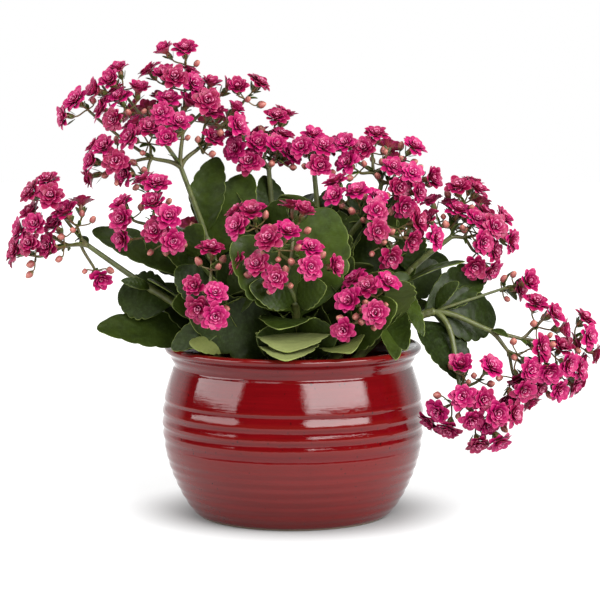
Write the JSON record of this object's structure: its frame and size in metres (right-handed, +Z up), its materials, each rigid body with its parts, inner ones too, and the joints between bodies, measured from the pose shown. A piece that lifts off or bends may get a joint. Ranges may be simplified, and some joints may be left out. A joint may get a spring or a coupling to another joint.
{
  "type": "potted kalanchoe",
  "caption": "Potted kalanchoe with dense heads of double pink flowers above fleshy leaves, growing in soil in a round, ribbed, red-glazed pot; a free-standing flowering plant.",
  "frame": {"origin": "centre of the pot's flat base, where it meets the surface it stands on", "axes": "+Z is up along the pot's axis; the show side of the plant faces -Y, and +X is to its right as seen from that side"},
  "size_m": [0.4344, 0.2267, 0.3517],
  "materials": {
    "glaze": "gloss",
    "soil": "matte",
    "foliage": "satin",
    "flowers": "matte"
  },
  "bodies": {
    "root": {"pot": "glaze", "soil": "soil", "spray_back": "flowers", "spray_back_left": "flowers", "spray_back_right": "flowers", "spray_centre_right": "flowers", "spray_far_left": "flowers", "spray_far_right": "flowers", "spray_front": "flowers", "spray_front_left": "flowers", "spray_front_right": "flowers", "spray_left": "flowers", "spray_lower_right": "flowers", "spray_right": "flowers", "spray_right_small": "flowers", "spray_top_centre": "flowers", "spray_top_left": "flowers", "spray_top_right": "flowers", "spray_upper_left": "flowers", "stem_back": "foliage", "stem_back_left": "foliage", "stem_back_right": "foliage", "stem_centre_right": "foliage", "stem_far_left": "foliage", "stem_far_right": "foliage", "stem_front": "foliage", "stem_front_left": "foliage", "stem_front_right": "foliage", "stem_left": "foliage", "stem_right": "foliage", "stem_top_centre": "foliage", "stem_top_left": "foliage", "stem_top_right": "foliage", "stem_upper_left": "foliage"}
  },
  "joints": []
}
